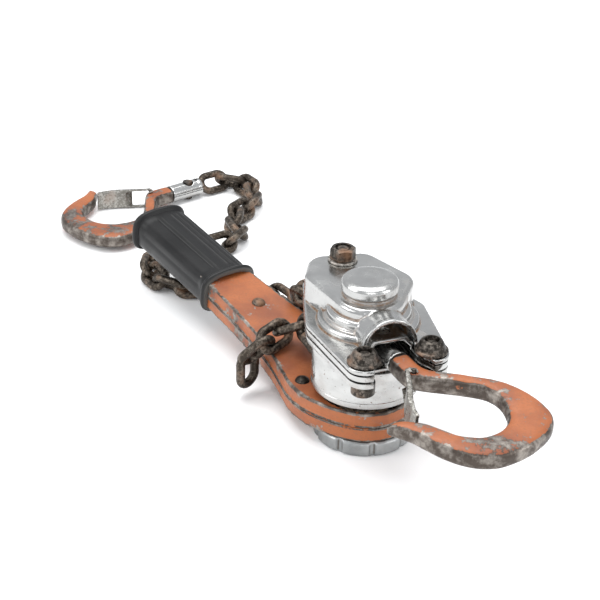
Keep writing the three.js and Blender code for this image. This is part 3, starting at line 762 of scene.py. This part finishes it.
# %% Nuts and washers
DOME_NUT = [
    (4.6, 84.8),
    (10.4, 84.8),
    (10.8, 85.1),
    (10.8, 85.9),
    (10.3, 86.4),
    (9.2, 86.8),
    (8.6, 88.4),
    (7.9, 90.4),
    (7.0, 91.9),
    (5.9, 92.8),
    (4.9, 93.0),
    (4.6, 92.5),
]


def on_stud(side):
    return ON_FRAME @ Matrix.Translation((*STUDS[side], 0))


def stay(side, flat_to, end_radius, top):
    """A stay bolt: a rod with a small chamfer at its upper end."""
    chamfer = [(STUD_RADIUS, flat_to), (end_radius, top)]
    profile = [(0, 63.5), (STUD_RADIUS, 63.5), *chamfer, (0, top)]
    piece = spun(f"stay_{side}", profile, 32, False)
    fit(piece, on_stud(side), "housing", [f"stay_bolt_{side}"], BLACK_STEEL)


for side in ("left", "right"):
    nut = spun(f"nut_{side}", DOME_NUT, 48)
    fit(nut, on_stud(side), "housing", [f"cap_nut_{side}"], BLACK_STEEL)
    stay(side, 89.6, 3.5, 90.4)

HEX_CORNER = 8.8
hexagon = []
for i in range(6):
    a = math.radians(60 * i + 20)
    hexagon.append((HEX_CORNER * math.cos(a), HEX_CORNER * math.sin(a)))
nut = prism("nut_back", hexagon, 105, 112.6)
crown = spun("crown", [(0, 104), (9.2, 104), (9.2, 111.4), (7.2, 112.6), (0, 112.6)], 48, False)
modify(nut, "BOOLEAN", operation="INTERSECT", solver="EXACT", object=crown)
bpy.data.objects.remove(crown)
cut(nut, rod(0, 0, STUD_HOLE, 90, 120), rod(0, 0, 5.4, 111.6, 120))
round_edges(nut, 0.3)
fit(nut, on_stud("back"), "housing", ["hex_nut_back"], BLACK_STEEL)
stay("back", 111.4, 3.6, 112.1)
WASHER = [(STUD_HOLE, 103.3), (10, 103.3), (10, 104.3), (9.6, 104.7), (STUD_HOLE, 104.7)]
washer = spun("washer", WASHER, 48)
fit(washer, on_stud("back"), "housing", ["washer_back"], GREY_STEEL)
LOW_NUT = [(4.6, 62.4), (7, 62.4), (7.6, 63), (7.6, 70.6), (7, 71.2), (4.6, 71.2)]
for side in STUDS:
    low_nut = spun(f"low_nut_{side}", LOW_NUT, 40)
    fit(low_nut, on_stud(side), "housing", [f"lower_nut_{side}"], BLACK_STEEL)

# %% [markdown]
# ## The lever
#
# Two pressed steel shells meet at a seam that runs all round. Each is one outline raised to its
# height, hollowed, given a lip at the seam and then creased upwards where the arm leaves the hub.
# The remesh turns the sharp cuts into the soft corners of a pressing.

# %% Lever outline
LEVER_HALF = [
    (-32, 0),
    (-30.4, 9.9),
    (-24.5, 20.6),
    (-13, 29.6),
    (3, 36.2),
    (18, 39),
    (34, 37.6),
    (50, 32.4),
    (70, 27.2),
    (95, 23.2),
    (125, 20.2),
    (160, 18.4),
    (205, 16.8),
    (252, 16.4),
]
SEAM = 21.85
ARM_FROM = 50
ARM_RISE = 6.5  # degrees
ARM_SLOPE = math.tan(math.radians(ARM_RISE))
SHELL_END = 174  # a little way inside the grip


def curve_through(points, steps):
    """Points along a smooth curve through the given ones."""
    out = []
    last = len(points) - 1
    for i in range(steps + 1):
        t = i * last / steps
        k = min(int(t), last - 1)
        t -= k
        p0, p1, p2, p3 = (Vector(points[min(max(k + j, 0), last)]) for j in (-1, 0, 1, 2))
        square = (2 * p0 - 5 * p1 + 4 * p2 - p3) * t * t
        cube = (3 * p1 - p0 - 3 * p2 + p3) * t**3
        out.append(0.5 * (2 * p1 + (p2 - p0) * t + square + cube))
    return out


def lever_outline(grow, end):
    side = []
    for x, y in curve_through(LEVER_HALF, 130):
        half = max(y + grow, 0)
        if x < end and half > 0.3:
            side.append((x - grow if x < -28 else x, half))
    side.append((end, side[-1][1]))
    return [(x, -y) for x, y in side] + [(x, y) for x, y in side[::-1]]


def climb(piece):
    """Tilts what lies beyond the hub, as the arm does."""
    for vertex in piece.data.vertices:
        vertex.co.z += max(0, vertex.co.x - ARM_FROM) * ARM_SLOPE
    return piece


def sliced(piece):
    """Cuts a piece across at the bend, so that it can crease there."""
    in_edit_mode(
        piece,
        lambda: bpy.ops.mesh.bisect(plane_co=(ARM_FROM, 0, 0), plane_no=(1, 0, 0)),
    )
    return piece


def shell(name, low, high, seam_low, open_from, open_to, hole):
    body = prism(name, lever_outline(0, SHELL_END), low, high)
    lip = prism("lip", lever_outline(1.3, 160), seam_low, seam_low + 1.5)
    both = merge(name, climb(sliced(body)), climb(sliced(lip)))
    cast(both, 0.85, 3)
    hollow = climb(sliced(prism("hollow", lever_outline(-2.4, SHELL_END - 2), open_from, open_to)))
    return cut(both, hollow, hole)


upper_shell = shell("lever_top_shell", 22.0, 32.3, 22.0, 10, 29.9, rod(0, 0, 29.8, 0, 60, 96))
fit(upper_shell, ON_LEVER, "lever", ["lever_shell_upper"], LEVER_PAINT, 180)
lower_shell = shell("lever_low_shell", 10.8, 21.7, 20.2, 13.1, 40, rod(0, 0, 8.7, 0, 60, 48))
cut(lower_shell, rod(46, 0, 3.3, 0, 60))
fit(lower_shell, ON_LEVER, "lever", ["lever_shell_lower"], LEVER_PAINT, 180)

# %% Lever rivets
def rivet(name, x, y, low, high):
    """A rivet with a rounded head at each end."""
    half = (high - low) / 2
    head = [(0, 2.6), (2.4, 2.45), (3.9, 1.8), (4.8, 0.6), (5, 0), (3, 0)]
    top = [(r, half - 2.6 + z) for r, z in head]
    profile = top + [(r, -z) for r, z in top[::-1]]
    piece = spun(name, profile, 32, False)
    piece.data.transform(Matrix.Translation((x, y, (low + high) / 2)))
    return piece


RIVET_LOW, RIVET_HIGH = 8.2, 34.9
for side, y in (("left", 28.5), ("right", -28.5)):
    hub_rivet = rivet(f"rivet_{side}", 31, y, RIVET_LOW, RIVET_HIGH)
    fit(hub_rivet, ON_LEVER, "lever", [f"lever_rivet_{side}"], BLACK_STEEL)
ON_ARM = (
    ON_LEVER
    @ Matrix.Translation((ARM_FROM, 0, SEAM))
    @ Matrix.Rotation(-math.radians(ARM_RISE), 4, "Y")
)
arm_rivet = rivet("rivet_arm", 75, 0, RIVET_LOW - SEAM, RIVET_HIGH - SEAM)
fit(arm_rivet, ON_ARM, "lever", ["lever_rivet_arm"], BLACK_STEEL)

# %% [markdown]
# ## The grip
#
# The rubber sleeve is oval with a rounded lip at each end. Fine ribs run along one half of its
# top and a smooth sunken panel covers the other side. It is one tube of rings: each extrusion is
# moved onto its own section, whose radius changes with the angle to make the ribs.


# %% Grip
def tube(name, rings):
    """A skin through a list of equal rings of points: one ring primitive, extruded and reshaped."""
    count = len(rings[0])
    bpy.ops.mesh.primitive_circle_add(vertices=count, radius=1, fill_type="NGON")
    piece = bpy.context.object
    piece.name = name
    for vertex, point in zip(piece.data.vertices, rings[0]):
        vertex.co = point
    only(piece)
    bpy.ops.object.mode_set(mode="EDIT")
    bpy.ops.mesh.select_all(action="SELECT")
    for ring in rings[1:]:
        bpy.ops.mesh.extrude_region_move(TRANSFORM_OT_translate={"value": (0, 0, 0)})
        mesh = bmesh.from_edit_mesh(piece.data)
        mesh.verts.ensure_lookup_table()
        for vertex, point in zip(mesh.verts[-count:], ring):
            vertex.co = point
        bmesh.update_edit_mesh(piece.data)
    bpy.ops.mesh.select_all(action="SELECT")
    face_out()
    bpy.ops.object.mode_set(mode="OBJECT")
    return piece


def oval(angle, half_width, half_height, power=2.7):
    """A point of a rounded oval at an angle in degrees."""
    c, s = math.cos(math.radians(angle)), math.sin(math.radians(angle))
    return (
        half_width * math.copysign(abs(c) ** (2 / power), c),
        half_height * math.copysign(abs(s) ** (2 / power), s),
    )


GRIP_FROM, GRIP_TO = 112, 214
PANEL_EDGE = 7  # the ribs stop here, and the smooth panel begins
RIB_SPACING = 4.2


def grip_ring(x, around_count=240):
    """One section of the grip at a distance along the arm."""
    from_end = min(x - GRIP_FROM, GRIP_TO - x)
    bead = max(0.0, 1 - ((from_end - 2.5) / 2.6) ** 2) ** 0.5
    in_panel = min(max((from_end - 9) / 3, 0), 1)
    points = []
    for i in range(around_count):
        y, z = oval(360 * i / around_count, 20.4, 14.5, 3.4)
        grow = 2.9 * bead
        if z > 0 and y < PANEL_EDGE:
            ribs = 0.5 + 0.5 * math.cos(2 * math.pi * (y + 17.2) / RIB_SPACING)
            on_ribs = min(max((PANEL_EDGE - y) / 1.2, 0), 1) * min(max((y + 19.2) / 1.5, 0), 1)
            grow += in_panel * on_ribs * (1.0 * ribs**0.6 - 0.5)
        elif z > 0:
            grow -= 0.9 * in_panel * min((y - PANEL_EDGE) / 1.5, 1) * min(z / 3, 1)
        length = math.hypot(y, z)
        points.append((x, y * (1 + grow / length), z * (1 + grow / length)))
    return points


def shrunk(ring, share, x):
    return [(x, y * share, z * share) for _, y, z in ring]


stations = [GRIP_FROM + 0.5 * i for i in range(14)]
stations += [120 + 2 * i for i in range(43)]
stations += [206.5 + 0.5 * i for i in range(16)]
rings = [grip_ring(min(x, GRIP_TO)) for x in stations]
first, end = rings[0], rings[-1]
mouth = [shrunk(first, 0.86, 112.3), shrunk(first, 0.86, 140)]
rings = mouth[::-1] + [first] + rings[1:]
for share, x in ((0.94, 214.0), (0.8, 213.4), (0.4, 213.2), (0.05, 213.2)):
    rings.append(shrunk(end, share, x))
grip = tube("grip", rings)
fit(grip, ON_ARM, "lever", ["lever_grip"], GRIP_RUBBER, 50)

# %% [markdown]
# ## The hooks
#
# A hook is forged from bar: round at the shank, deep and flat-sided round the bowl, and slimmer at
# the tip. Pairs of points across the bar give each section's place, direction and width, and a
# smooth curve through the pairs gives the sections between them.

# %% Hook
HOOK_PAIRS = [
    ((18.9, 7.0), (18.9, -7.0), 12.6),
    ((27, 7.2), (27, -7.2), 12.8),
    ((32, 7.5), (32, -7.1), 13),
    ((37, 9.2), (38.5, -6), 13),
    ((41, 13), (44, -0.6), 13),
    ((46.5, 21), (51, 9), 13),
    ((53.5, 30), (59, 20.5), 13),
    ((67, 45.5), (69, 31.4), 13),
    ((83.5, 54), (80, 34), 13),
    ((100, 56), (92, 30.8), 13),
    ((111, 52), (97.6, 27), 13),
    ((119, 42.5), (102, 22.4), 13),
    ((125.4, 24.5), (105.6, 14), 13),
    ((126.9, 4.6), (105.8, 3.6), 13),
    ((122.6, -8.5), (103, -3), 13),
    ((113.8, -18.4), (98, -9.8), 12.8),
    ((102, -25.9), (91, -14.4), 12.4),
    ((86, -32.9), (82, -20.4), 11.6),
    ((78.4, -38.6), (76.6, -27), 10.4),
    ((74.6, -42.4), (72.6, -32), 8),
    ((72.4, -42.6), (71, -36.4), 4.6),
]


def hook_rings(steps=120, count=36):
    """The sections of the hook, as rounded oblongs across its own line."""
    rows = curve_through([(*outer, *inner, thick) for outer, inner, thick in HOOK_PAIRS], steps)
    rings = []
    for row in rows:
        outer, inner, thick = Vector(row[0:2]), Vector(row[2:4]), row[4]
        middle, half = (outer + inner) / 2, (outer - inner) / 2
        ring = []
        for k in range(count):
            across, up = oval(360 * (k + 0.5) / count, 1, thick / 2, 3.4)
            ring.append((middle.x + half.x * across, middle.y + half.y * across, up))
        rings.append(ring)
    return rings


def weathered(piece, amount, size, seed):
    """Moves the skin in and out a little, as a hammered or corroded surface is."""
    for vertex in piece.data.vertices:
        push = noise.noise(vertex.co / size + Vector((seed, 0, 0))) * amount
        vertex.co -= vertex.normal * (amount * 0.5 - push * 0.5)
    return piece


STEM = [(0, 7.4), (5.9, 7.4), (5.9, 10.6), (4.6, 10.9), (4.6, 20), (0, 20)]
LATCH_PIN = (38, -1.5)


def forged_hook(name):
    bar = tube("bar", hook_rings())
    stem = spun("stem", STEM, 40, False)
    stem.data.transform(Matrix.Rotation(math.radians(90), 4, "Y"))
    pin_hole = rod(*LATCH_PIN, 1.6, -10, 10)
    hook = cast(merge(name, bar, stem), 0.75, 2)
    cut(hook, pin_hole)
    return weathered(hook, 0.22, 5, 3)


for end, place in (("top", ON_TOP_HOOK), ("bottom", ON_BOTTOM_HOOK)):
    hook = forged_hook(f"hook_{end}")
    fit(hook, place, f"{end}_hook", [f"{end}_hook"], HOOK_PAINT, 180)

# %% [markdown]
# ## Yokes, latches and small parts
#
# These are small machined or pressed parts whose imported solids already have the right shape, so
# each is copied, its loose triangles are merged, and a fine remesh takes the hardness off its
# edges. That is quicker than drawing them twice, and they can't drift from their sizes.


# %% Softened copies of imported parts
def softened(name, node, voxel, rounds):
    """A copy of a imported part, welded and softened, in millimetres."""
    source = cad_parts[node]
    piece = bpy.data.objects.new(name, source.data.copy())
    bpy.context.scene.collection.objects.link(piece)
    piece.data.transform(Matrix.Scale(1 / MM, 4))
    in_edit_mode(piece, lambda: bpy.ops.mesh.remove_doubles(threshold=0.002))
    return cast(piece, voxel, rounds)


IN_PLACE = Matrix.Identity(4)
SMALL_PARTS = [
    ("top_yoke_upper", "top_yoke", 0.45, 2, DRUM_METAL),
    ("top_yoke_lower", "top_yoke", 0.45, 2, DRUM_METAL),
    ("top_latch", "top_latch", 0.42, 2, GREY_STEEL),
    ("bottom_yoke_upper", "bottom_yoke", 0.45, 2, DRUM_METAL),
    ("bottom_yoke_lower", "bottom_yoke", 0.45, 2, DRUM_METAL),
    ("bottom_latch", "bottom_latch", 0.42, 2, GREY_STEEL),
    ("hand_wheel", "wheel_train", 0.6, 3, WHEEL_ALLOY),
    ("wheel_nut", "wheel_train", 0.4, 1, BLACK_STEEL),
    ("selector_knob", "selector", 0.45, 2, BLACK_STEEL),
    ("load_sheave", "sheave", 0.7, 1, GREY_STEEL),
]
for node, body, voxel, rounds, material in SMALL_PARTS:
    part = softened(f"soft_{node}", node, voxel, rounds)
    fit(part, IN_PLACE, body, [node], material, 180)

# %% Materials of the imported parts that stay
KEPT_PARTS = {
    GREY_STEEL: [
        "sheave_bearing",
        "load_gear",
        "layshaft_gear",
        "layshaft_spindle",
        "drive_shaft",
        "change_gear",
        "ratchet_disc",
        "brake_hub",
        "pawl_pin_a",
        "pawl_pin_b",
        "pawl_a",
        "pawl_b",
        "selector_pawl",
        "top_pin",
    ],
    BLACK_STEEL: ["top_yoke_rivet", "top_latch_pin", "bottom_latch_pin", "bottom_yoke_pin"],
    BRAKE_LINING: ["lining_lower", "lining_upper"],
}
for material, names in KEPT_PARTS.items():
    for name in names:
        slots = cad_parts[name].material_slots
        for material_slot in slots:
            material_slot.material = material
print("kept parts", sum(len(names) for names in KEPT_PARTS.values()))

# %% [markdown]
# ## The load chain
#
# Every link is one bent and welded bar, turned a quarter from the one before. One link is shaped
# from a ring that is pulled apart, and copies of it are laid along the chain's route: from its
# free end, over the lever, round the sheave, back over the lever and away to the load hook.

# %% One link
LINK_PITCH, LINK_WIRE, LINK_WIDTH = 19, 6.3, 20.8
bend = (LINK_WIDTH - LINK_WIRE) / 2
reach = (LINK_PITCH + LINK_WIRE) / 2 - bend
LINK_SIDES = 28
bpy.ops.mesh.primitive_torus_add(
    major_radius=bend,
    minor_radius=LINK_WIRE / 2,
    major_segments=LINK_SIDES,
    minor_segments=14,
    rotation=(0, 0, math.pi / LINK_SIDES),
)
link = bpy.context.object
bpy.ops.object.transform_apply(location=True, rotation=True, scale=True)
for vertex in link.data.vertices:
    vertex.co.x += math.copysign(reach, vertex.co.x)
print("link length", LINK_PITCH + 2 * LINK_WIRE)


# %% The route
def on_frame(x, y, z):
    return tuple(ON_FRAME @ Vector((x, y, z)))


SHEAVE_MID, CHAIN_LINE = 52.8, 21.2
LINK_STEP, RUN_GAP, FIRST_LINK_AT = 18.5, 0.4, 2.2
ROUTE = [
    (-79, 41, 10),
    (-80, 40, 22),
    (-77, 38, 36),
    (-68, 37, 43),
    (-58, 47, 45),
    (-49, 54, 49),
    (-41, 46, 53),
    on_frame(-36, -CHAIN_LINE - 0.4, SHEAVE_MID),
    on_frame(-18, -CHAIN_LINE, SHEAVE_MID),
]
for turn in range(-90, 91, 30):
    x, y = CHAIN_LINE * math.cos(math.radians(turn)), CHAIN_LINE * math.sin(math.radians(turn))
    ROUTE.append(on_frame(x, y, SHEAVE_MID))
ROUTE += [
    on_frame(-18, CHAIN_LINE, SHEAVE_MID),
    on_frame(-36, CHAIN_LINE + 0.4, SHEAVE_MID),
    (-4, 64, 56),
    (-24, 84, 57),
    (-42, 95, 52),
    (-43, 107, 38),
    (-36, 113, 22),
    (-33, 124, 9),
    (-46, 146, 8.6),
    (-76, 182, 8.6),
    (-112, 184, 8.6),
    (-142, 182, 8.6),
    (-164, 206, 8.6),
    (-154, 238, 8.6),
    (-120, 250, 8.6),
    (-96, 272, 8.6),
    (-104, 306, 8.6),
    (-88, 338, 8.6),
    (-92, 372, 8.6),
    (-114, 386, 8.6),
    (-131.4, 373.9, 8.7),
]


def dense_route(points, per_span=60):
    """Close points along an even-tempered smooth curve, with their distances along it."""
    points = [Vector(p) for p in points]
    points = [2 * points[0] - points[1]] + points + [2 * points[-1] - points[-2]]
    line = []
    for p0, p1, p2, p3 in zip(points, points[1:], points[2:], points[3:]):
        a, b, c = ((q - p).length ** 0.5 for p, q in ((p0, p1), (p1, p2), (p2, p3)))
        leave = ((p1 - p0) / a - (p2 - p0) / (a + b) + (p2 - p1) / b) * b
        arrive = ((p2 - p1) / b - (p3 - p1) / (b + c) + (p3 - p2) / c) * b
        for i in range(per_span):
            t = i / per_span
            line.append(
                (2 * t**3 - 3 * t * t + 1) * p1
                + (t**3 - 2 * t * t + t) * leave
                + (3 * t * t - 2 * t**3) * p2
                + (t**3 - t * t) * arrive
            )
    line.append(points[-2])
    far = [0.0]
    for p, q in zip(line, line[1:]):
        far.append(far[-1] + (q - p).length)
    return line, far


LINE, FAR = dense_route(ROUTE)


def along_route(distance):
    distance = min(max(distance, 0), FAR[-1])
    low, high = 0, len(FAR) - 1
    while high - low > 1:
        middle = (low + high) // 2
        low, high = (middle, high) if FAR[middle] <= distance else (low, middle)
    share = (distance - FAR[low]) / (FAR[high] - FAR[low])
    return LINE[low].lerp(LINE[high], share)


print("route length", round(FAR[-1], 1))


# %% Runs of links
def run_of_links(name, start, first, last, rolls, step):
    """Copies of the link from number first up to last of a run, each in its place."""
    copies = []
    roll_from, roll_to, count = rolls
    for i in range(first, last):
        begin, end = along_route(start + step * i), along_route(start + step * (i + 1))
        ahead = (end - begin).normalized()
        side = Vector((-ahead.y, ahead.x, 0)).normalized()
        up = ahead.cross(side)
        roll = math.radians(roll_from + (roll_to - roll_from) * i / (count - 1) + 90 * (i % 2))
        across = side * math.cos(roll) + up * math.sin(roll)
        third = ahead.cross(across)
        middle = (begin + end) / 2
        rows = [(ahead[k], across[k], third[k], middle[k]) for k in range(3)]
        place = Matrix([*rows, (0, 0, 0, 1)])
        copy = bpy.data.objects.new("link", link.data.copy())
        bpy.context.scene.collection.objects.link(copy)
        copy.data.transform(place)
        copies.append(copy)
    return merge(name, *copies)


def fit_between(piece, nodes):
    """A run that rides on no body: put in place, replacing the given nodes, with its transform baked
    into the mesh.
    """
    fit(piece, IN_PLACE, None, nodes, CHAIN_STEEL)
    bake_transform(piece)


TAIL_LINKS, WRAP_LINKS, LOAD_LINKS = 7, 4, 10
LOAD_SPLIT = 5  # the load run is made in two halves, one on each side of the lever
tail_start = FIRST_LINK_AT
wrap_start = tail_start + TAIL_LINKS * LINK_STEP + RUN_GAP
load_start = wrap_start + WRAP_LINKS * LINK_STEP + RUN_GAP
pile_start = load_start + LOAD_LINKS * LINK_STEP + RUN_GAP
pile_count = int((FAR[-1] - pile_start) / LINK_STEP)
pile_step = (FAR[-1] - pile_start) / pile_count

tail = run_of_links("tail_links", tail_start, 0, TAIL_LINKS, (45, 90, TAIL_LINKS), LINK_STEP)
fit_between(tail, ["chain_tail"])
wrap = run_of_links("wrap_links", wrap_start, 0, WRAP_LINKS, (0, 0, WRAP_LINKS), LINK_STEP)
fit(wrap, IN_PLACE, "housing", ["chain_wrap"], CHAIN_STEEL)
LOAD_ROLLS = (0, 45, LOAD_LINKS)
load_near = run_of_links("load_links_near", load_start, 0, LOAD_SPLIT, LOAD_ROLLS, LINK_STEP)
load_far = run_of_links(
    "load_links_far", load_start, LOAD_SPLIT, LOAD_LINKS, LOAD_ROLLS, LINK_STEP
)
fit_between(load_near, ["chain_load"])
fit_between(load_far, ["chain_load"])
pile = run_of_links("pile_links", pile_start, 0, pile_count, (45, 45, pile_count), pile_step)
fit(pile, IN_PLACE, "housing", ["chain_pile"], CHAIN_STEEL)
bpy.data.objects.remove(link)
print("pile of", pile_count, "links")
